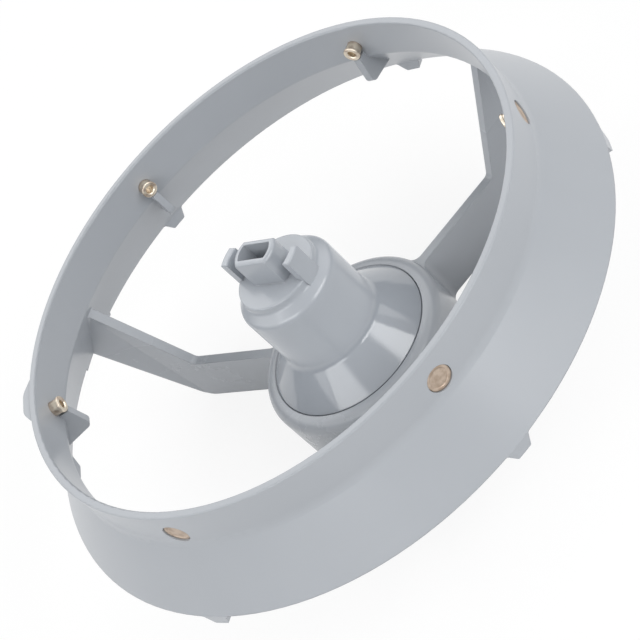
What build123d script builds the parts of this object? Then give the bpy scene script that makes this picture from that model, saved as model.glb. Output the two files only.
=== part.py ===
from build123d import *
import math
import os

# Drive ring of a food processor: a flared plastic ring on three bent spokes,
# a hub cup in the middle, a drive coupling seated in the cup, and metal pins
# pressed through the ring's upper band.
# Millimetres, +Z up along the drive axis, origin on the base plane at the axis.
# Spoke 1 runs along +X.

# Ring wall
upper_rim_radius = 80.0     # outside of the upper rim
lower_rim_radius = 92.1     # outside of the lower rim
ring_top = 62.0             # upper rim above the base plane
ring_height = 29.6          # upper rim to lower rim
band_height = 12.3          # straight band under the upper rim
ring_wall = 2.3             # square to the surface
crease_rounding = 4.0       # soft crease where the band starts to flare
rim_rounding = 0.5          # upper rim

# Spokes
spoke_count = 3
spoke_thickness = 3.0
spoke_top = 16.5            # upper edge of the level stretch
spoke_knee_radius = 61.4    # where the upper edge turns up to the ring
spoke_heel_radius = 68.5    # where the lower edge turns up to the ring
short_heel_radius = 48.0    # the same on the one spoke that rises straight from its heel
short_heel_angle = 120.0    # degrees from spoke 1
spoke_root_drop = 14.5      # where the upper edge meets the ring wall, below the upper rim
spoke_foot_flare = 2.7      # how far each side of the web widens, down to the foot of the ring wall
spoke_heel_rounding = 6.0
spoke_knee_rounding = 2.0
spoke_hub_rounding = 3.0    # where the web joins the hub cup
spoke_ring_rounding = 1.0   # where the web joins the ring wall

# Hub cup
hub_radius = 29.3
hub_top = 19.2
hub_bore_radius = 24.9
hub_shoulder_rounding = 3.2
hub_floor = 3.0
hub_floor_hole_radius = 14.0
hub_bore_chamfer = 0.3

# Drive coupling
seat_clearance = 0.15       # radial gap between coupling and cup
coupling_wall = 3.0
neck_radius = 15.5
neck_top = 48.4             # foot of the ledge, where the straight neck starts
neck_bottom = 28.2          # where the skirt starts
ledge_rounding = 2.4
skirt_rounding = 3.0
collar_radius = 12.4
collar_top = 53.4
collar_bottom = 51.2
collar_rounding = 0.7
groove_rounding = 1.5       # between collar and ledge

# Double-D socket tube and dogs on the collar
socket_radius = 5.2
socket_half_flat = 2.6
socket_wall = 1.5
socket_top = 63.0
socket_lip_rounding = 1.0
dog_count = 2
dog_angle = -6.0            # degrees from spoke 1
dog_width = 6.0
dog_proud = 0.7             # beyond the collar
dog_thickness = 2.3
dog_top = 60.9
dog_rounding = 0.4

# Pins through the band
pin_count = 6
pin_first_angle = 30.0      # degrees from spoke 1
pin_drop = 7.9              # pin axis below the upper rim
pin_radius = 2.2
pin_head_radius = 3.6
pin_head_sink = 0.45        # head below the outside of the band
pin_head_thickness = 1.0
pin_head_chamfer = 0.35
pin_reach = 3.3             # inner end of the pin inside the band
pin_end_lip = 0.25          # rolled lip at the inner end, beyond the shank
pin_end_lip_length = 0.9
pin_end_lip_chamfer = 0.25
pin_end_hole_radius = 1.2
pin_end_hole_depth = 2.0
pin_fit_gap = 0.03          # radial gap of shank and head in their holes

# Fins that back the pins up inside the ring
fin_thickness = 2.2
fin_gap = 0.2               # under the pin
fin_top_reach = 3.1         # upper inner corner inside the band
fin_tip_reach = 4.9         # innermost corner inside the band
fin_tip_drop = 19.0         # innermost corner below the upper rim
fin_foot_drop = 21.8        # foot on the ring wall below the upper rim
fin_tip_rounding = 2.0

# Tabs on the lower rim
tab_base = 8.0
tab_tip = 4.6
tab_height = 3.5
tab_root_rounding = 0.9
tab_tip_rounding = 0.7
tab_root_depth = 0.6        # how far the tab is rooted in the rim

# Locating lug outside the band, round the first pin
lug_base = 20.0
lug_crest = 8.0
lug_proud = 2.7
lug_top_drop = 0.8
lug_height = 11.0
lug_rounding = 6.0
lug_pin_hole_radius = 4.4


# Values that follow from the sizes above
ring_bottom = ring_top - ring_height
crease_height = ring_top - band_height
flare_run = lower_rim_radius - upper_rim_radius
flare_drop = ring_height - band_height
flare_slope = flare_run / flare_drop
flare_angle = math.atan(flare_slope)
rim_width = ring_wall / math.cos(flare_angle)
band_inner_radius = upper_rim_radius - ring_wall
inner_crease_height = crease_height - ring_wall * math.tan(flare_angle / 2)
hub_middle_radius = (hub_radius + hub_bore_radius) / 2
spoke_root_top = ring_top - spoke_root_drop
pin_height = ring_top - pin_drop
pin_end_radius = band_inner_radius - pin_reach
pin_seat_radius = upper_rim_radius - pin_head_sink - pin_head_thickness
spigot_radius = hub_bore_radius - seat_clearance
tolerance = 0.01            # for finding edges by their place


def outside_radius(height):
    """Outer radius of the ring wall at a height on the flare."""
    return upper_rim_radius + (crease_height - height) * flare_slope


def middle_radius(height):
    """Radius of the middle of the ring wall at a height on the flare."""
    return outside_radius(height) - rim_width / 2


def face_from(corners):
    """Flat face in the XZ plane from (radius, height, rounding) corners."""
    points = [(radius, height) for radius, height, rounding in corners]
    roundings = [rounding for radius, height, rounding in corners]
    outline = FilletPolyline(*points, radius=roundings, close=True)
    return Plane.XZ * make_face(outline)


def turned(corners):
    """Solid turned about the drive axis."""
    return revolve(face_from(corners), axis=Axis.Z)


def radial_plate(corners, thickness):
    """Upright plate in the radial plane along +X."""
    return extrude(face_from(corners), amount=thickness / 2, both=True)


def around(solid, count, first_angle=0.0):
    """Copies of a solid made along +X, evenly turned about the drive axis."""
    step = 360 / count
    return [Rot(0, 0, first_angle + step * index) * solid for index in range(count)]


def ring_wall_solid():
    """Straight band and flare as one turned wall."""
    inner_rounding = max(crease_rounding - ring_wall, rim_rounding)
    return turned([
        (upper_rim_radius, ring_top, rim_rounding),
        (upper_rim_radius, crease_height, crease_rounding),
        (lower_rim_radius, ring_bottom, 0),
        (lower_rim_radius - rim_width, ring_bottom, 0),
        (band_inner_radius, inner_crease_height, inner_rounding),
        (band_inner_radius, ring_top, rim_rounding),
    ])


def hub_cup_solid():
    """Cup with a floor that the coupling stands on and a hole for the spindle."""
    return turned([
        (hub_floor_hole_radius, 0, 0),
        (hub_radius, 0, 0),
        (hub_radius, hub_top, hub_shoulder_rounding),
        (hub_bore_radius + hub_bore_chamfer, hub_top, 0),
        (hub_bore_radius, hub_top - hub_bore_chamfer, 0),
        (hub_bore_radius, hub_floor, 0),
        (hub_floor_hole_radius, hub_floor, 0),
    ])


def upright_roots(blank):
    """Long upright edges where the web meets the walls, from the hub outwards."""
    edges = [edge for edge in blank.edges()
             if abs(abs(edge.center().Y) - spoke_thickness / 2) < tolerance
             and abs((edge @ 0).Z - (edge @ 1).Z) > ring_height]
    return sorted(edges, key=lambda edge: edge.center().X)


def spoke_blank():
    """Radial web between hub and ring wall, filleted into both, before its side view is cut."""
    wall_blank = turned([
        (outside_radius(0) - rim_width, 0, 0),
        (outside_radius(0), 0, 0),
        (outside_radius(ring_top), ring_top, 0),
        (outside_radius(ring_top) - rim_width, ring_top, 0),
    ])
    hub_blank = turned([
        (hub_bore_radius, 0, 0),
        (hub_radius, 0, 0),
        (hub_radius, ring_top, 0),
        (hub_bore_radius, ring_top, 0),
    ])
    web_blank = radial_plate([
        (hub_middle_radius, 0, 0),
        (middle_radius(0), 0, 0),
        (middle_radius(ring_top), ring_top, 0),
        (hub_middle_radius, ring_top, 0),
    ], spoke_thickness)
    blank = wall_blank + hub_blank + web_blank
    blank = fillet(upright_roots(blank)[:2], spoke_hub_rounding)
    return fillet(upright_roots(blank)[-2:], spoke_ring_rounding)


def spoke_foot_solid(heel_radius):
    """Wedge that widens the web on both sides towards the foot of the ring wall."""
    half = spoke_thickness / 2
    heel = Vector(heel_radius, half, 0)
    root = Vector(middle_radius(spoke_root_top), half, spoke_root_top)
    foot = Vector(middle_radius(ring_bottom), half + spoke_foot_flare, ring_bottom)
    wedge = radial_plate([(corner.X, corner.Z, 0) for corner in (heel, root, foot)],
                         2 * (half + spoke_foot_flare))
    slant = Plane(origin=heel, x_dir=root - heel, z_dir=(root - heel).cross(foot - heel))
    one_side = split(wedge, bisect_by=slant, keep=Keep.BOTTOM)
    return one_side & mirror(one_side, about=Plane.XZ)


def spoke_solid(blank, heel_radius):
    """Bent web along +X, trimmed to its side view."""
    side_view = face_from([
        (hub_middle_radius, 0, 0),
        (hub_middle_radius, spoke_top, 0),
        (spoke_knee_radius, spoke_top, spoke_knee_rounding),
        (middle_radius(spoke_root_top), spoke_root_top, 0),
        (middle_radius(ring_bottom), ring_bottom, 0),
        (heel_radius, 0, spoke_heel_rounding),
    ])
    reach = spoke_thickness / 2 + spoke_foot_flare + 2 * max(spoke_hub_rounding, spoke_ring_rounding)
    web = blank + spoke_foot_solid(heel_radius)
    return web & extrude(side_view, amount=reach, both=True)


def spoke_solids():
    """Spokes, evenly turned, one of them with a short heel."""
    blank = spoke_blank()
    long_heel = spoke_solid(blank, spoke_heel_radius)
    short_heel = spoke_solid(blank, short_heel_radius)
    step = 360 / spoke_count
    angles = [step * index for index in range(spoke_count)]
    return [Rot(0, 0, angle) * (short_heel if angle == short_heel_angle else long_heel) for angle in angles]


def fin_solid():
    """Gusset under a pin, on the inside of the ring wall."""
    top = pin_height - pin_radius - pin_end_lip - fin_gap
    foot = ring_top - fin_foot_drop
    band_middle = upper_rim_radius - ring_wall / 2
    middle_crease = (crease_height + inner_crease_height) / 2
    return radial_plate([
        (band_middle, top, 0),
        (band_inner_radius - fin_top_reach, top, 0),
        (band_inner_radius - fin_tip_reach, ring_top - fin_tip_drop, fin_tip_rounding),
        (middle_radius(foot), foot, 0),
        (band_middle, middle_crease, 0),
    ], fin_thickness)


def tab_solid():
    """Tapered tab below the lower rim, with filleted roots."""
    inside = lower_rim_radius - rim_width
    lean = tab_root_depth * flare_slope
    rim_zone = turned([
        (inside, ring_bottom - tab_height, 0),
        (lower_rim_radius, ring_bottom - tab_height, 0),
        (lower_rim_radius, ring_bottom, 0),
        (lower_rim_radius - lean, ring_bottom + tab_root_depth, 0),
        (inside - lean, ring_bottom + tab_root_depth, 0),
        (inside, ring_bottom, 0),
    ])
    half_root = tab_base / 2 + 2 * tab_root_rounding
    root = ring_bottom + tab_root_depth
    tip = ring_bottom - tab_height
    outline = FilletPolyline(
        (-half_root, root),
        (half_root, root),
        (half_root, ring_bottom),
        (tab_base / 2, ring_bottom),
        (tab_tip / 2, tip),
        (-tab_tip / 2, tip),
        (-tab_base / 2, ring_bottom),
        (-half_root, ring_bottom),
        radius=[0, 0, 0, tab_root_rounding, tab_tip_rounding, tab_tip_rounding, tab_root_rounding, 0],
        close=True,
    )
    blank = extrude(Plane.YZ * make_face(outline), amount=lower_rim_radius + rim_width)
    return rim_zone & blank


def lug_solid():
    """Rounded pad outside the band that keys the ring in one place."""
    root = upper_rim_radius - ring_wall / 2
    crest = upper_rim_radius + lug_proud
    outline = FilletPolyline(
        (root, -lug_base / 2),
        (crest, -lug_crest / 2),
        (crest, lug_crest / 2),
        (root, lug_base / 2),
        radius=[0, lug_rounding, lug_rounding, 0],
        close=True,
    )
    foot = ring_top - lug_top_drop - lug_height
    pad = extrude(Pos(0, 0, foot) * make_face(outline), amount=lug_height)
    return Rot(0, 0, pin_first_angle) * pad


def pin_axis_plane(radius):
    """Plane square to the pin along +X, at a radius, facing outwards."""
    return Plane(origin=(radius, 0, pin_height), x_dir=(0, 1, 0), z_dir=(1, 0, 0))


def pin_hole_solid():
    """Clearance cut for one pin: shank hole and head recess."""
    shank = extrude(
        pin_axis_plane(band_inner_radius - ring_wall) * Circle(pin_radius + pin_fit_gap),
        amount=3 * ring_wall,
    )
    recess = extrude(
        pin_axis_plane(pin_seat_radius) * Circle(pin_head_radius + pin_fit_gap),
        amount=pin_head_thickness + lug_proud + ring_wall,
    )
    return shank + recess


def lug_hole_solid():
    """Opening through the lug that leaves the first pin's head in view."""
    hole = extrude(
        pin_axis_plane(upper_rim_radius) * Circle(lug_pin_hole_radius),
        amount=lug_proud + ring_wall,
    )
    return Rot(0, 0, pin_first_angle) * hole


def drive_ring():
    """Ring, spokes, hub cup, fins, tabs and lug as one moulding."""
    body = ring_wall_solid() + hub_cup_solid()
    for spoke in spoke_solids():
        body += spoke
    for fin in around(fin_solid(), pin_count, pin_first_angle):
        body += fin
    for tab in around(tab_solid(), pin_count, pin_first_angle):
        body += tab
    body += lug_solid()
    for hole in around(pin_hole_solid(), pin_count, pin_first_angle):
        body -= hole
    return body - lug_hole_solid()


def double_d(radius, half_flat):
    """Circle with two parallel flats along X."""
    return Circle(radius) & Rectangle(2 * radius, 2 * half_flat)


def drive_coupling():
    """Hollow coupling: seat in the cup, skirt, neck, collar, socket tube and dogs."""
    slope = (neck_bottom - hub_top) / (spigot_radius - neck_radius)
    skirt_depth = coupling_wall * math.sqrt(1 + slope ** 2)
    core_radius = neck_radius - coupling_wall
    recess_radius = spigot_radius - coupling_wall
    core_bottom = neck_bottom - skirt_depth + slope * coupling_wall
    recess_top = neck_bottom - skirt_depth - slope * (recess_radius - neck_radius)
    roof = collar_top - coupling_wall
    body = turned([
        (0, collar_top, 0),
        (collar_radius, collar_top, collar_rounding),
        (collar_radius, collar_bottom, groove_rounding),
        (neck_radius, neck_top, ledge_rounding),
        (neck_radius, neck_bottom, skirt_rounding),
        (spigot_radius, hub_top, 0),
        (spigot_radius, hub_floor, 0),
        (recess_radius, hub_floor, 0),
        (recess_radius, recess_top, 0),
        (core_radius, core_bottom, 0),
        (core_radius, roof, 0),
        (0, roof, 0),
    ])
    tube_outline = double_d(socket_radius + socket_wall, socket_half_flat + socket_wall)
    tube = extrude(Pos(0, 0, roof) * tube_outline, amount=socket_top - roof)
    tube = fillet(tube.faces().sort_by(Axis.Z)[-1].edges(), socket_lip_rounding)
    dog_radius = collar_radius + dog_proud
    dog_zone = Circle(dog_radius) - Circle(dog_radius - dog_thickness)
    dog_outline = dog_zone & Pos(dog_radius, 0) * Rectangle(2 * dog_radius, dog_width)
    dog = extrude(Pos(0, 0, roof) * dog_outline, amount=dog_top - roof)
    dog = fillet(dog.faces().sort_by(Axis.Z)[-1].edges(), dog_rounding)
    body += tube
    body += around(dog, dog_count, dog_angle)
    socket = extrude(Pos(0, 0, roof - coupling_wall) * double_d(socket_radius, socket_half_flat),
                     amount=socket_top - roof + 2 * coupling_wall)
    return body - socket


def drive_pin():
    """Headed metal pin along +X with a rolled tubular inner end."""
    shank_length = pin_seat_radius - pin_end_radius
    head_top = shank_length + pin_head_thickness
    lip_radius = pin_radius + pin_end_lip
    profile = face_from([
        (pin_end_hole_radius, 0, 0),
        (lip_radius - pin_end_lip_chamfer, 0, 0),
        (lip_radius, pin_end_lip_chamfer, 0),
        (lip_radius, pin_end_lip_length, 0),
        (pin_radius, pin_end_lip_length, 0),
        (pin_radius, shank_length, 0),
        (pin_head_radius, shank_length, 0),
        (pin_head_radius, head_top - pin_head_chamfer, 0),
        (pin_head_radius - pin_head_chamfer, head_top, 0),
        (0, head_top, 0),
        (0, pin_end_hole_depth, 0),
        (pin_end_hole_radius, pin_end_hole_depth, 0),
    ])
    pin = revolve(profile, axis=Axis.Z)
    return pin_axis_plane(pin_end_radius) * pin


nodes = {
    "drive_ring": drive_ring(),
    "drive_coupling": drive_coupling(),
}
for index, pin in enumerate(around(drive_pin(), pin_count, pin_first_angle)):
    nodes[f"drive_pin_{index + 1}"] = pin

os.makedirs("parts", exist_ok=True)
for name, solid in nodes.items():
    export_step(solid, f"parts/{name}.step")
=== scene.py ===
import math
from typing import NamedTuple

import bmesh
import bpy
from bpy.props import FloatProperty, FloatVectorProperty, PointerProperty
from mathutils import Matrix, Vector


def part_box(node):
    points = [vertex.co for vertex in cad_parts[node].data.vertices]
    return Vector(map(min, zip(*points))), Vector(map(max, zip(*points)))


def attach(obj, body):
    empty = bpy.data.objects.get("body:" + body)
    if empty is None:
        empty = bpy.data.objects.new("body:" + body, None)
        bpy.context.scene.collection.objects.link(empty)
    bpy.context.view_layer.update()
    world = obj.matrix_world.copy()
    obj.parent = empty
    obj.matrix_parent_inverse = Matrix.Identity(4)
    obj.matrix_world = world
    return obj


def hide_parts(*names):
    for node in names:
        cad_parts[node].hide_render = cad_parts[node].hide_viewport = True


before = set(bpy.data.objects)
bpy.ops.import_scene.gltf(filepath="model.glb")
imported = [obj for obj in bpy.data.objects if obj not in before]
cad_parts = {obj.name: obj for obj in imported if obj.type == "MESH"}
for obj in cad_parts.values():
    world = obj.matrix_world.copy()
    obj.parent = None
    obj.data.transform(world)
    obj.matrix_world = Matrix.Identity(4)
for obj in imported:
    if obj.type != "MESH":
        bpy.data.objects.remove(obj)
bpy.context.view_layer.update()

bl_info = {
    "name": "Drive Ring Finisher",
    "version": (1, 1, 0),
    "blender": (4, 5, 0),
    "location": "3D View > Sidebar > Drive Ring",
    "description": "Moulded and metal finishes of a food processor drive ring, and a studio to show it in",
    "category": "Object",
}

SENSOR_WIDTH = 36.0
MM = 0.001
WHITE = (1, 1, 1, 1)

# Six pins stand evenly round the upper band, the first a quarter of the way from one spoke to the next
PIN_COUNT = 6
PIN_FIRST_ANGLE = math.radians(30)
PIN_FACETS = 48
PIN_SMOOTH_ANGLE = math.radians(35)
PIN_RADIUS_LAYER = "axis_radius"
ROUNDING_STEPS = 3
MERGE_DISTANCE = 0.001 * MM
MATCH_DISTANCE = 0.01 * MM

# How far the effects on the plastic and on the metal go
GRAIN_STRENGTH = 0.05
RELIEF_DEPTH = 0.1 * MM
SCUFF_PALENESS = 0.04
SCUFF_ROUGHNESS = 0.04
# Roughness added where the corners carry painted shade
CORNER_ROUGHNESS = 0.3
TURNING_RELIEF = 0.15
TURNING_STRENGTH = 0.25

# Samples of the edge and corner nodes, the mean of noise, and the factors that take height out of a place
SHADE_SAMPLES = 4
NOISE_MEAN = 0.5
LEVEL_PART = (1, 1, 0)

# Scales of the noise on the metal, which is finer than on the plastic
TARNISH_SCALE = 450
METAL_GRAIN_SCALE = 4000
METAL_BREAK_SCALE = 900
POLISH_PATCH_SCALE = 500

# Values of noise and of shading between which each mask grows from 0 to 1
EDGE_TURN = (0.01, 0.2)
EDGE_BREAKS = (0.3, 0.6)
CORNER_SHELTER = (0.25, 0.8)
CORNER_SHADE_PATCHES = (0.2, 0.6)
SCUFF_LINES = (0.66, 0.8)
SCUFF_PATCHES = (0.55, 0.8)
CLEAN_METAL = (0.35, 0.65)
POLISHED_METAL = (0.3, 0.55)

# Scuffs run along the drive axis or level round it: noise is drawn out where its scale is small
SCUFF_STRETCHES = ((1, 1, 0.06), (0.06, 0.06, 1))


# Properties that a user would change

def tone(name, description, default):
    """Colour setting."""
    return FloatVectorProperty(
        name=name, description=description, subtype="COLOR", size=4, min=0, max=1, default=(*default, 1))


def share(name, description, default):
    """Setting from 0 to 1."""
    return FloatProperty(
        name=name, description=description, subtype="FACTOR", min=0, max=1, default=default)


def length(name, description, default):
    """Length setting in metres."""
    return FloatProperty(
        name=name, description=description, subtype="DISTANCE", unit="LENGTH", precision=5, default=default)


def angle(name, description, degrees):
    """Angle setting, given in degrees."""
    return FloatProperty(
        name=name, description=description, subtype="ANGLE", unit="ROTATION", default=math.radians(degrees))


def ratio(name, description, default):
    """Plain setting that isn't negative."""
    return FloatProperty(name=name, description=description, min=0, default=default)


def power(name, description, default):
    """Lamp power in watts."""
    return FloatProperty(name=name, description=description, unit="POWER", min=0, default=default)


class RingFinishSettings(bpy.types.PropertyGroup):
    """Finish of the moulded ring"""
    pale: tone("Pale Tone", "Lighter of the two tones that drift over the moulding", (0.386, 0.407, 0.436))
    deep: tone("Deep Tone", "Darker of the two tones that drift over the moulding", (0.352, 0.372, 0.400))
    # The worn edge tone is partly pale wear and partly a painted highlight along the edges.
    worn: tone("Worn Edge Tone", "Plastic that is rubbed pale along the edges", (0.58, 0.605, 0.64))
    # The dark corner tone is painted shade where walls meet.
    soil: tone("Soil Tone", "Dull shade that gathers in the corners", (0.22, 0.235, 0.26))
    # The next share sets both the pale wear and the painted highlight along the edges.
    wear: share("Wear", "How much of the edges is rubbed pale", 0.5)
    # The next share sets how strongly the painted shade darkens and roughens the corners.
    soiling: share("Soiling", "How much of the corners is dulled", 0.5)
    roughness: share("Roughness", "Mean roughness of the satin skin", 0.26)
    unevenness: share("Unevenness", "How much the roughness changes from place to place", 0.12)
    satin: share("Satin", "Roughness that is added above the polish height", 0.05)
    satin_paleness: share("Satin Paleness", "Share of the worn tone above the polish height", 0.0)
    polish_height: length("Polish Height", "Height where the added roughness begins", 28.0 * MM)
    edge_radius: length("Edge Radius", "Softness of the moulded edges", 0.35 * MM)
    refraction: ratio("Refraction", "Index of refraction of the plastic", 1.5)


class CouplingFinishSettings(bpy.types.PropertyGroup):
    """Finish of the drive coupling"""
    pale: tone("Pale Tone", "Lighter of the two tones that drift over the coupling", (0.336, 0.360, 0.394))
    deep: tone("Deep Tone", "Darker of the two tones that drift over the coupling", (0.308, 0.331, 0.364))
    # The worn edge tone is partly pale wear and partly a painted highlight along the edges.
    worn: tone("Worn Edge Tone", "Plastic that is rubbed pale along the edges", (0.60, 0.63, 0.67))
    # The dark corner tone is painted shade where walls meet.
    soil: tone("Soil Tone", "Dull shade that gathers in the corners", (0.15, 0.16, 0.18))
    # The next share sets both the pale wear and the painted highlight along the edges.
    wear: share("Wear", "How much of the edges is rubbed pale", 0.6)
    # The next share sets how strongly the painted shade darkens and roughens the corners.
    soiling: share("Soiling", "How much of the corners is dulled", 0.85)
    roughness: share("Roughness", "Mean roughness of the polished skin", 0.09)
    unevenness: share("Unevenness", "How much the roughness changes from place to place", 0.06)
    satin: share("Satin", "Roughness that is added above the polish height", 0.14)
    satin_paleness: share("Satin Paleness", "Share of the worn tone above the polish height", 0.21)
    polish_height: length("Polish Height", "Height where the added roughness begins", 28.0 * MM)
    edge_radius: length("Edge Radius", "Softness of the moulded edges", 0.35 * MM)
    refraction: ratio("Refraction", "Index of refraction of the plastic", 1.6)


class PinSettings(bpy.types.PropertyGroup):
    """Sizes and finish of the metal pins"""
    bright: tone("Bright Metal", "Clean metal of the heads", (0.57, 0.47, 0.385))
    tarnish: tone("Tarnish", "Dull patches on the pins", (0.41, 0.32, 0.25))
    polished: tone("Polished Metal", "Metal that is rubbed bright at the inner ends", (0.77, 0.69, 0.57))
    wear: share("Wear", "How much of the edges is rubbed clean", 0.6)
    roughness: share("Roughness", "Mean roughness of the turned metal", 0.42)
    unevenness: share("Unevenness", "How much the roughness changes from place to place", 0.3)
    edge_radius: length("Edge Radius", "Softness of the turned edges", 0.15 * MM)
    shank_radius: length("Shank Radius", "Radius of the pin in the wall of the ring", 2.2 * MM)
    head_radius: length("Head Radius", "Radius of the sunk head", 3.6 * MM)
    head_thickness: length("Head Thickness", "Thickness of the head", 1.0 * MM)
    head_rounding: length("Head Rounding", "Rounding of the head's outer edge", 0.18 * MM)
    dish_radius: length("Dish Radius", "Radius of the shallow dish in the head", 2.7 * MM)
    dish_depth: length("Dish Depth", "Depth of the shallow dish in the head", 0.15 * MM)
    lip_radius: length("Lip Radius", "Radius of the rolled inner end", 2.45 * MM)
    lip_length: length("Lip Length", "Length of the rolled inner end", 0.9 * MM)
    lip_rounding: length("Lip Rounding", "Rounding of the rolled inner end", 0.25 * MM)
    bore_radius: length("Bore Radius", "Radius of the hole in the inner end", 1.2 * MM)
    bore_depth: length("Bore Depth", "Depth of the hole in the inner end", 2.0 * MM)
    bore_flare: length("Bore Flare", "Flare at the mouth of the hole", 0.3 * MM)
    polish_start: length("Polish Start", "Drive axis to where the inner ends begin to dull", 76.0 * MM)
    polish_end: length("Polish End", "Drive axis to where the pins are wholly dull", 78.5 * MM)
    turning_pitch: length("Turning Pitch", "Distance between the rings that turning leaves", 0.4 * MM)


class StudioSettings(bpy.types.PropertyGroup):
    """Camera, floor and lamps"""
    view_target: FloatVectorProperty(
        name="View Target", description="Point that the camera looks at",
        subtype="TRANSLATION", unit="LENGTH", size=3, default=(0.000757, 0.001057, 0.03078))
    view_azimuth: angle("View Azimuth", "Turn of the camera from the first spoke", 144.4)
    view_elevation: angle("View Elevation", "Height of the camera above the horizon", 37.734)
    view_roll: angle("View Roll", "Turn of the camera about its line of sight", -47.19)
    view_distance: length("View Distance", "Camera to view target", 0.53755)
    lens: FloatProperty(
        name="Focal Length", description="Focal length in millimetres on a 36 mm sensor",
        unit="CAMERA", default=109.43)
    floor_width: length("Floor Width", "Side of the square floor", 8.0)
    floor_colour: tone("Floor Colour", "Pale floor that the ring stands on", (0.9, 0.9, 0.9))
    floor_white: share("Floor White", "Share of plain white in the floor that is seen near the ring", 0.86)
    fade_start: length("Fade Start", "Ring to where the floor begins to turn wholly white", 0.25)
    fade_end: length("Fade End", "Ring to where the floor is wholly white", 0.9)
    room_light: ratio("Room Light", "Strength of the even light from all round", 0.5)
    lamp_distance: length("Lamp Distance", "Lamps to view target", 0.9)
    left_box_power: power("Left Soft Box Power", "Soft box on the camera's left", 2.35)
    right_box_power: power("Right Soft Box Power", "Soft box on the camera's right", 3.4)
    back_power: power("Back Lamp Power", "Lamp behind the ring", 2.2)
    side_power: power("Side Lamp Power", "Each of two lamps on either side of the back lamp", 1.3)


# Node helpers

def add_node(tree, kind, **values):
    """New node with its plain attributes set."""
    node = tree.nodes.new(kind)
    for name, value in values.items():
        setattr(node, name, value)
    return node


def feed(tree, socket, value):
    """Links a socket to another, or sets it to a plain value."""
    if isinstance(value, bpy.types.NodeSocket):
        tree.links.new(value, socket)
    else:
        socket.default_value = value


def set_inputs(tree, node, **values):
    """Feeds sockets by name, with underscores for spaces."""
    for name, value in values.items():
        feed(tree, node.inputs[name.replace("_", " ")], value)


def math_node(tree, operation, *values):
    """Math node of one or more values, each a socket or a number."""
    node = add_node(tree, "ShaderNodeMath", operation=operation)
    for socket, value in zip(node.inputs, values):
        feed(tree, socket, value)
    return node.outputs["Value"]


def ramp(tree, value, low, high):
    """0 below a low value, 1 above a high one, and smooth between."""
    node = add_node(tree, "ShaderNodeMapRange", interpolation_type="SMOOTHSTEP")
    set_inputs(tree, node, Value=value, From_Min=low, From_Max=high)
    return node.outputs["Result"]


def noise(tree, vector, scale, detail, roughness=0.5):
    """Noise value of a vector at a scale."""
    node = add_node(tree, "ShaderNodeTexNoise")
    set_inputs(tree, node, Vector=vector, Scale=scale, Detail=detail, Roughness=roughness)
    return node.outputs["Fac"]


def mix_tones(tree, factor, first, second):
    """Colour between two tones, each a socket or a colour."""
    node = add_node(tree, "ShaderNodeMix", data_type="RGBA")
    set_inputs(tree, node, Factor=factor, A=first, B=second)
    return node.outputs["Result"]


def new_group(name, inputs, outputs):
    """Shader node group with a Vector input, float inputs with defaults, and outputs by kind.

    It comes with the sockets that it is given and the node that takes what it makes.
    """
    group = bpy.data.node_groups.new(name, "ShaderNodeTree")
    group.interface.new_socket("Vector", in_out="INPUT", socket_type="NodeSocketVector")
    for label, default in inputs.items():
        socket = group.interface.new_socket(label, in_out="INPUT", socket_type="NodeSocketFloat")
        socket.default_value = default
    for label, kind in outputs.items():
        group.interface.new_socket(label, in_out="OUTPUT", socket_type=f"NodeSocket{kind}")
    return group, group.nodes.new("NodeGroupInput").outputs, group.nodes.new("NodeGroupOutput")


def place_group(tree, build, place, **values):
    """Instance of a shared effect with its own values. The effect is built once."""
    group = bpy.data.node_groups.get(build.__name__) or build(build.__name__)
    node = add_node(tree, "ShaderNodeGroup", node_tree=group)
    set_inputs(tree, node, Vector=place, **values)
    return node.outputs


# Shared effects

def uneven_skin(name):
    """Slow drift of tone, uneven gloss and fine grain."""
    group, given, made = new_group(
        name,
        {"Drift Scale": 30, "Grain Scale": 2500, "Roughness": 0.3, "Roughness Spread": 0.1},
        {"Drift": "Float", "Roughness": "Float", "Grain": "Float"})
    drift = noise(group, given["Vector"], given["Drift Scale"], detail=3)
    patches = noise(group, given["Vector"], given["Drift Scale"], detail=8, roughness=0.7)
    offset = math_node(group, "SUBTRACT", patches, NOISE_MEAN)
    spread = math_node(group, "MULTIPLY", offset, given["Roughness Spread"])
    set_inputs(
        group, made, Drift=drift,
        Roughness=math_node(group, "ADD", given["Roughness"], spread),
        Grain=noise(group, given["Vector"], given["Grain Scale"], detail=2))
    return group


def soft_edges(name):
    """Normal that turns softly round every corner, and a broken mask along the edges."""
    group, given, made = new_group(
        name, {"Radius": 0.35 * MM, "Break Scale": 250}, {"Normal": "Vector", "Rubbed": "Float"})
    round_over = add_node(group, "ShaderNodeBevel", samples=SHADE_SAMPLES)
    feed(group, round_over.inputs["Radius"], given["Radius"])
    facing = add_node(group, "ShaderNodeVectorMath", operation="DOT_PRODUCT")
    feed(group, facing.inputs[0], round_over.outputs["Normal"])
    feed(group, facing.inputs[1], add_node(group, "ShaderNodeNewGeometry").outputs["Normal"])
    turned = ramp(group, math_node(group, "SUBTRACT", 1, facing.outputs["Value"]), *EDGE_TURN)
    breaks = noise(group, given["Vector"], given["Break Scale"], detail=4, roughness=0.6)
    broken = ramp(group, breaks, *EDGE_BREAKS)
    set_inputs(
        group, made, Normal=round_over.outputs["Normal"],
        Rubbed=math_node(group, "MULTIPLY", turned, broken))
    return group


def corner_soil(name):
    """Mask of painted shade where walls meet, from ambient occlusion, broken into patches."""
    group, given, made = new_group(name, {"Reach": 2.5 * MM, "Patch Scale": 120}, {"Soil": "Float"})
    shelter = add_node(group, "ShaderNodeAmbientOcclusion", samples=SHADE_SAMPLES)
    feed(group, shelter.inputs["Distance"], given["Reach"])
    hidden = ramp(group, math_node(group, "SUBTRACT", 1, shelter.outputs["AO"]), *CORNER_SHELTER)
    patches = ramp(group, noise(group, given["Vector"], given["Patch Scale"], detail=3), *CORNER_SHADE_PATCHES)
    set_inputs(group, made, Soil=math_node(group, "MULTIPLY", hidden, patches))
    return group


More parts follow.
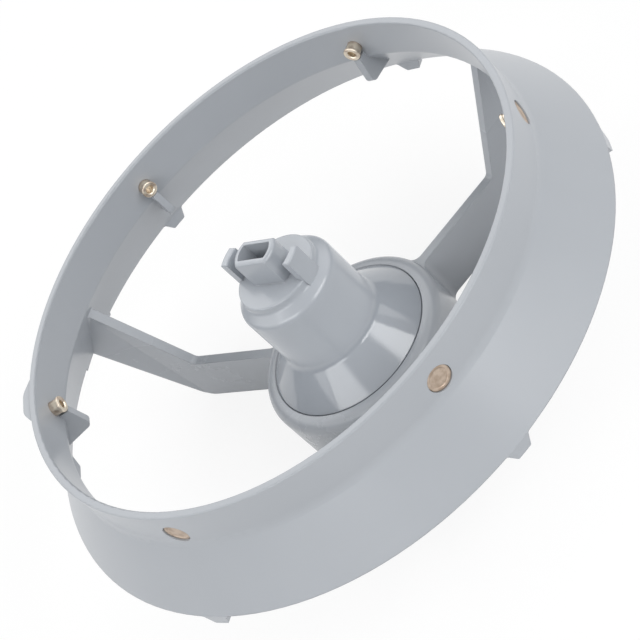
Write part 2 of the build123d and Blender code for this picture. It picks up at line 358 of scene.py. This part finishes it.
def handling_scuffs(name):
    """Mask of faint short scratches, in two directions and in patches."""
    group, given, made = new_group(name, {"Scale": 900, "Patch Scale": 25}, {"Scuffs": "Float"})
    lines = []
    for stretch in SCUFF_STRETCHES:
        drawn_out = add_node(group, "ShaderNodeMapping")
        set_inputs(group, drawn_out, Vector=given["Vector"], Scale=stretch)
        scratches = noise(group, drawn_out.outputs["Vector"], given["Scale"], detail=2)
        lines.append(ramp(group, scratches, *SCUFF_LINES))
    patches = ramp(group, noise(group, given["Vector"], given["Patch Scale"], detail=3), *SCUFF_PATCHES)
    both = math_node(group, "MAXIMUM", *lines)
    set_inputs(group, made, Scuffs=math_node(group, "MULTIPLY", both, patches))
    return group


def satin_top(name):
    """Mask of what stands above a height."""
    group, given, made = new_group(name, {"Height": 28.0 * MM, "Fade": 2.0 * MM}, {"Satin": "Float"})
    parts = add_node(group, "ShaderNodeSeparateXYZ")
    feed(group, parts.inputs["Vector"], given["Vector"])
    whole = math_node(group, "ADD", given["Height"], given["Fade"])
    set_inputs(group, made, Satin=ramp(group, parts.outputs["Z"], given["Height"], whole))
    return group


# Finishes

def new_finish(name):
    """New material with its Principled shader and Object coordinates."""
    finish = bpy.data.materials.new(name)
    finish.use_nodes = True
    tree = finish.node_tree
    place = add_node(tree, "ShaderNodeTexCoord").outputs["Object"]
    return finish, tree, tree.nodes["Principled BSDF"], place


def bump(tree, height, strength, normal):
    """Normal that a fine relief gives to another."""
    node = add_node(tree, "ShaderNodeBump")
    set_inputs(tree, node, Strength=strength, Distance=RELIEF_DEPTH, Height=height, Normal=normal)
    return node.outputs["Normal"]


def moulded_plastic(name, settings):
    """Moulded plastic with drifting tone, pale worn edges that also carry a painted highlight, painted
    shade in the corners and fine scuffs.
    """
    finish, tree, shader, place = new_finish(name)
    skin = place_group(
        tree, uneven_skin, place, Roughness=settings.roughness, Roughness_Spread=settings.unevenness)
    edges = place_group(tree, soft_edges, place, Radius=settings.edge_radius)
    # Painted shade in the corners, from ambient occlusion broken into patches
    soil = place_group(tree, corner_soil, place)["Soil"]
    scuffs = place_group(tree, handling_scuffs, place)["Scuffs"]
    satin = place_group(tree, satin_top, place, Height=settings.polish_height)["Satin"]
    # Pale worn edges, which also carry a painted highlight along them
    rubbed = math_node(tree, "MULTIPLY", edges["Rubbed"], settings.wear)
    wear_and_highlight = math_node(tree, "MAXIMUM", rubbed, math_node(tree, "MULTIPLY", scuffs, SCUFF_PALENESS))
    paled = math_node(tree, "MULTIPLY_ADD", satin, settings.satin_paleness, wear_and_highlight)
    # The painted corner shade darkens the colour and also makes the corners rougher
    shaded = math_node(tree, "MULTIPLY", soil, settings.soiling)
    colour = mix_tones(tree, skin["Drift"], settings.deep, settings.pale)
    colour = mix_tones(tree, paled, colour, settings.worn)
    colour = mix_tones(tree, shaded, colour, settings.soil)
    rough = math_node(tree, "MULTIPLY_ADD", scuffs, SCUFF_ROUGHNESS, skin["Roughness"])
    rough = math_node(tree, "MULTIPLY_ADD", shaded, CORNER_ROUGHNESS, rough)
    rough = math_node(tree, "MULTIPLY_ADD", satin, settings.satin, rough)
    set_inputs(
        tree, shader, Base_Color=colour, Roughness=rough, IOR=settings.refraction,
        Normal=bump(tree, skin["Grain"], GRAIN_STRENGTH, edges["Normal"]))
    return finish


def polished_ends(tree, place, pins):
    """Mask of the pins' inner ends, by their distance from the drive axis, with dull patches left."""
    flat = add_node(tree, "ShaderNodeVectorMath", operation="MULTIPLY")
    feed(tree, flat.inputs[0], place)
    feed(tree, flat.inputs[1], LEVEL_PART)
    span = add_node(tree, "ShaderNodeVectorMath", operation="LENGTH")
    feed(tree, span.inputs[0], flat.outputs["Vector"])
    outside = ramp(tree, span.outputs["Value"], pins.polish_start, pins.polish_end)
    rubbed = ramp(tree, noise(tree, place, POLISH_PATCH_SCALE, detail=3), *POLISHED_METAL)
    return math_node(tree, "MULTIPLY", math_node(tree, "SUBTRACT", 1, outside), rubbed)


def turned_metal(name, pins):
    """Dull turned metal with tarnished patches and the rings that turning leaves."""
    finish, tree, shader, place = new_finish(name)
    skin = place_group(
        tree, uneven_skin, place, Drift_Scale=TARNISH_SCALE, Grain_Scale=METAL_GRAIN_SCALE,
        Roughness=pins.roughness, Roughness_Spread=pins.unevenness)
    edges = place_group(tree, soft_edges, place, Radius=pins.edge_radius, Break_Scale=METAL_BREAK_SCALE)
    radius = add_node(tree, "ShaderNodeAttribute", attribute_name=PIN_RADIUS_LAYER).outputs["Fac"]
    rings = math_node(tree, "SINE", math_node(tree, "MULTIPLY", radius, math.tau / pins.turning_pitch))
    relief = math_node(tree, "MULTIPLY_ADD", rings, TURNING_RELIEF, skin["Grain"])
    rubbed = math_node(tree, "MULTIPLY", edges["Rubbed"], pins.wear)
    colour = mix_tones(tree, ramp(tree, skin["Drift"], *CLEAN_METAL), pins.tarnish, pins.bright)
    colour = mix_tones(tree, rubbed, colour, pins.bright)
    colour = mix_tones(tree, polished_ends(tree, place, pins), colour, pins.polished)
    set_inputs(
        tree, shader, Base_Color=colour, Roughness=skin["Roughness"], Metallic=1,
        Normal=bump(tree, relief, TURNING_STRENGTH, edges["Normal"]))
    return finish


def dress(node, finish):
    """Gives a CAD node a finish."""
    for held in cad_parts[node].material_slots:
        held.material = finish


# Turned pins

def pin_profile(pins, length_over_all):
    """Half outline of a pin as distances along its axis and from it, from the bore to the head."""
    seat = length_over_all - pins.head_thickness
    dish_floor = length_over_all - pins.dish_depth
    return (
        (pins.bore_depth, 0),
        (pins.bore_depth, pins.bore_radius),
        (pins.bore_flare, pins.bore_radius),
        (0, pins.bore_radius + pins.bore_flare),
        (0, pins.lip_radius),
        (pins.lip_length, pins.lip_radius),
        (pins.lip_length, pins.shank_radius),
        (seat, pins.shank_radius),
        (seat, pins.head_radius),
        (length_over_all, pins.head_radius),
        (length_over_all, pins.dish_radius),
        (dish_floor, pins.dish_radius - pins.dish_depth),
        (dish_floor, 0),
    )


def from_axis(vertex):
    """Distance of a vertex from the X axis."""
    return math.hypot(vertex.co.y, vertex.co.z)


def rim_edges(shape, along, radius):
    """Edges of the circle that one corner of the outline makes."""
    def on_rim(vertex):
        level = abs(vertex.co.x - along) < MATCH_DISTANCE
        return level and abs(from_axis(vertex) - radius) < MATCH_DISTANCE
    return [edge for edge in shape.edges if all(on_rim(vertex) for vertex in edge.verts)]


def turn_pin(pins, length_over_all):
    """Bmesh of a pin along +X, with its inner end at the origin."""
    shape = bmesh.new()
    corners = [shape.verts.new((along, 0, radius)) for along, radius in pin_profile(pins, length_over_all)]
    outline = [shape.edges.new(pair) for pair in zip(corners, corners[1:])]
    bmesh.ops.spin(
        shape, geom=corners + outline, cent=(0, 0, 0), axis=(1, 0, 0), angle=math.tau,
        steps=PIN_FACETS, use_merge=True)
    bmesh.ops.remove_doubles(shape, verts=shape.verts, dist=MERGE_DISTANCE)
    bmesh.ops.recalc_face_normals(shape, faces=shape.faces)
    roundings = (
        (0, pins.lip_radius, pins.lip_rounding),
        (pins.lip_length, pins.lip_radius, pins.lip_rounding / 2),
        (length_over_all, pins.head_radius, pins.head_rounding),
        (length_over_all, pins.dish_radius, pins.dish_depth / 2),
    )
    for along, radius, offset in roundings:
        bmesh.ops.bevel(
            shape, geom=rim_edges(shape, along, radius), offset=offset, affect="EDGES",
            segments=ROUNDING_STEPS, profile=0.5, material=-1)
    layer = shape.verts.layers.float.new(PIN_RADIUS_LAYER)
    for vertex in shape.verts:
        vertex[layer] = from_axis(vertex)
    return shape


def add_pin(index, pins, finish):
    """Turned pin in the place of a CAD pin."""
    node = f"drive_pin_{index + 1}"
    low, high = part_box(node)
    turn = PIN_FIRST_ANGLE + index * math.tau / PIN_COUNT
    axis = Vector((math.cos(turn), math.sin(turn), 0))
    reaches = [vertex.co.dot(axis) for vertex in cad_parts[node].data.vertices]
    shape = turn_pin(pins, max(reaches) - min(reaches))
    inner_end = axis * min(reaches) + Vector((0, 0, (low[2] + high[2]) / 2))
    bmesh.ops.transform(
        shape, matrix=Matrix.Translation(inner_end) @ Matrix.Rotation(turn, 4, "Z"), verts=shape.verts)
    mesh = bpy.data.meshes.new(f"turned_pin_{index + 1}")
    shape.to_mesh(mesh)
    shape.free()
    mesh.shade_smooth()
    mesh.set_sharp_from_angle(angle=PIN_SMOOTH_ANGLE)
    mesh.materials.append(finish)
    piece = bpy.data.objects.new(mesh.name, mesh)
    bpy.context.scene.collection.objects.link(piece)
    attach(piece, "root")
    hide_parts(node)


# Studio

class Lamp(NamedTuple):
    """Rectangular soft lamp: its direction from the ring in degrees, its size in metres, its setting."""
    name: str
    azimuth: float
    elevation: float
    width: float
    height: float
    setting: str


LAMPS = (
    Lamp("left soft box", azimuth=91, elevation=37, width=0.65, height=0.35, setting="left_box_power"),
    Lamp("right soft box", azimuth=184, elevation=37, width=0.65, height=0.35, setting="right_box_power"),
    Lamp("back lamp", azimuth=324, elevation=40, width=1.0, height=0.6, setting="back_power"),
    Lamp("left back lamp", azimuth=35, elevation=35, width=0.8, height=0.5, setting="side_power"),
    Lamp("right back lamp", azimuth=255, elevation=35, width=0.8, height=0.5, setting="side_power"),
)


def direction(azimuth, elevation):
    """Unit vector towards an azimuth from +X and an elevation."""
    return Vector((
        math.cos(azimuth) * math.cos(elevation),
        math.sin(azimuth) * math.cos(elevation),
        math.sin(elevation)))


def aim(thing, target, back, distance, roll=0):
    """Puts a camera or lamp at a distance from a target, turned to face it."""
    turn = (-back).to_track_quat("-Z", "Y").to_matrix().to_4x4()
    thing.matrix_world = Matrix.Translation(target + back * distance) @ turn @ Matrix.Rotation(roll, 4, "Z")
    bpy.context.scene.collection.objects.link(thing)


def add_camera(studio):
    """Camera at the photograph's viewing angle."""
    data = bpy.data.cameras.new("view")
    data.lens = studio.lens
    data.sensor_width = SENSOR_WIDTH
    camera = bpy.data.objects.new("view", data)
    back = direction(studio.view_azimuth, studio.view_elevation)
    aim(camera, Vector(studio.view_target), back, studio.view_distance, studio.view_roll)
    bpy.context.scene.camera = camera


def add_lamp(lamp, studio):
    """Soft lamp that faces the ring."""
    data = bpy.data.lights.new(lamp.name, "AREA")
    data.shape = "RECTANGLE"
    data.size = lamp.width
    data.size_y = lamp.height
    data.energy = getattr(studio, lamp.setting)
    back = direction(math.radians(lamp.azimuth), math.radians(lamp.elevation))
    aim(bpy.data.objects.new(lamp.name, data), Vector(studio.view_target), back, studio.lamp_distance)


def seen_rays(tree):
    """1 for camera, glossy and transmission rays, or else 0."""
    path = add_node(tree, "ShaderNodeLightPath").outputs
    seen = math_node(tree, "MAXIMUM", path["Is Camera Ray"], path["Is Glossy Ray"])
    return math_node(tree, "MAXIMUM", seen, path["Is Transmission Ray"])


def mix_shaders(tree, factor, first, second, output):
    """Sends a blend of two shaders to an output."""
    blend = add_node(tree, "ShaderNodeMixShader")
    for socket, value in zip(blend.inputs, (factor, first.outputs[0], second.outputs[0])):
        feed(tree, socket, value)
    feed(tree, tree.nodes[output].inputs["Surface"], blend.outputs[0])


def pale_floor(studio):
    """Pale paint that is nearly white where it is seen, and wholly white far from the ring."""
    finish = bpy.data.materials.new("pale floor")
    finish.use_nodes = True
    tree = finish.node_tree
    tree.nodes.remove(tree.nodes["Principled BSDF"])
    paint = add_node(tree, "ShaderNodeBsdfDiffuse")
    set_inputs(tree, paint, Color=studio.floor_colour)
    white = add_node(tree, "ShaderNodeEmission")
    reach = add_node(tree, "ShaderNodeVectorMath", operation="LENGTH")
    feed(tree, reach.inputs[0], add_node(tree, "ShaderNodeTexCoord").outputs["Object"])
    far = ramp(tree, reach.outputs["Value"], studio.fade_start, studio.fade_end)
    share_of_white = math_node(tree, "MULTIPLY_ADD", far, 1 - studio.floor_white, studio.floor_white)
    share_seen = math_node(tree, "MULTIPLY", seen_rays(tree), share_of_white)
    mix_shaders(tree, share_seen, paint, white, "Material Output")
    return finish


def add_floor(studio):
    """Floor that the ring stands on, which keeps its shadow."""
    shape = bmesh.new()
    bmesh.ops.create_grid(shape, x_segments=1, y_segments=1, size=studio.floor_width / 2)
    mesh = bpy.data.meshes.new("floor")
    shape.to_mesh(mesh)
    shape.free()
    floor = bpy.data.objects.new("floor", mesh)
    bpy.context.scene.collection.objects.link(floor)
    mesh.materials.append(pale_floor(studio))


def set_room(studio):
    """White all round where it is seen, with even room light for the rest."""
    world = bpy.data.worlds.new("studio room")
    world.use_nodes = True
    bpy.context.scene.world = world
    tree = world.node_tree
    light = tree.nodes["Background"]
    set_inputs(tree, light, Color=WHITE, Strength=studio.room_light)
    white = add_node(tree, "ShaderNodeBackground")
    set_inputs(tree, white, Color=WHITE)
    mix_shaders(tree, seen_rays(tree), light, white, "World Output")


# Operators

class FinishRing(bpy.types.Operator):
    """Gives the moulded ring its satin plastic"""
    bl_idname = "drive_ring.finish_ring"
    bl_label = "Finish Ring"

    def execute(self, context):
        dress("drive_ring", moulded_plastic("satin ring plastic", context.scene.drive_ring_plastic))
        return {"FINISHED"}


class FinishCoupling(bpy.types.Operator):
    """Gives the drive coupling its polished plastic"""
    bl_idname = "drive_ring.finish_coupling"
    bl_label = "Finish Coupling"

    def execute(self, context):
        settings = context.scene.drive_ring_coupling
        dress("drive_coupling", moulded_plastic("polished coupling plastic", settings))
        return {"FINISHED"}


class TurnPins(bpy.types.Operator):
    """Turns the metal pins, with dished heads and rolled tubular ends"""
    bl_idname = "drive_ring.turn_pins"
    bl_label = "Turn Pins"

    def execute(self, context):
        pins = context.scene.drive_ring_pins
        finish = turned_metal("dull pin metal", pins)
        for index in range(PIN_COUNT):
            add_pin(index, pins, finish)
        return {"FINISHED"}


class SetStudio(bpy.types.Operator):
    """Sets the camera, the floor, the room and the lamps"""
    bl_idname = "drive_ring.set_studio"
    bl_label = "Set Studio"

    def execute(self, context):
        studio = context.scene.drive_ring_studio
        add_camera(studio)
        add_floor(studio)
        set_room(studio)
        for lamp in LAMPS:
            add_lamp(lamp, studio)
        context.scene.view_settings.view_transform = "Standard"
        return {"FINISHED"}


class DriveRingPanel(bpy.types.Panel):
    """Finishes and studio of the drive ring"""
    bl_idname = "VIEW3D_PT_drive_ring"
    bl_label = "Drive Ring"
    bl_space_type = "VIEW_3D"
    bl_region_type = "UI"
    bl_category = "Drive Ring"

    def draw(self, context):
        for operator in OPERATORS:
            self.layout.operator(operator.bl_idname)
        for name in SETTINGS:
            group = getattr(context.scene, name)
            column = self.layout.column()
            for label in group.__annotations__:
                column.prop(group, label)


OPERATORS = (FinishRing, FinishCoupling, TurnPins, SetStudio)
SETTINGS = {
    "drive_ring_plastic": RingFinishSettings,
    "drive_ring_coupling": CouplingFinishSettings,
    "drive_ring_pins": PinSettings,
    "drive_ring_studio": StudioSettings,
}


def register():
    """Registers the settings, the operators and the panel."""
    for name, group in SETTINGS.items():
        bpy.utils.register_class(group)
        setattr(bpy.types.Scene, name, PointerProperty(type=group))
    for operator in OPERATORS:
        bpy.utils.register_class(operator)
    bpy.utils.register_class(DriveRingPanel)


def unregister():
    """Takes back what register does."""
    bpy.utils.unregister_class(DriveRingPanel)
    for operator in reversed(OPERATORS):
        bpy.utils.unregister_class(operator)
    for name, group in SETTINGS.items():
        delattr(bpy.types.Scene, name)
        bpy.utils.unregister_class(group)


def main():
    """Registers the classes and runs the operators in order."""
    register()
    bpy.ops.drive_ring.finish_ring()
    bpy.ops.drive_ring.finish_coupling()
    bpy.ops.drive_ring.turn_pins()
    bpy.ops.drive_ring.set_studio()


if __name__ == "__main__":
    main()
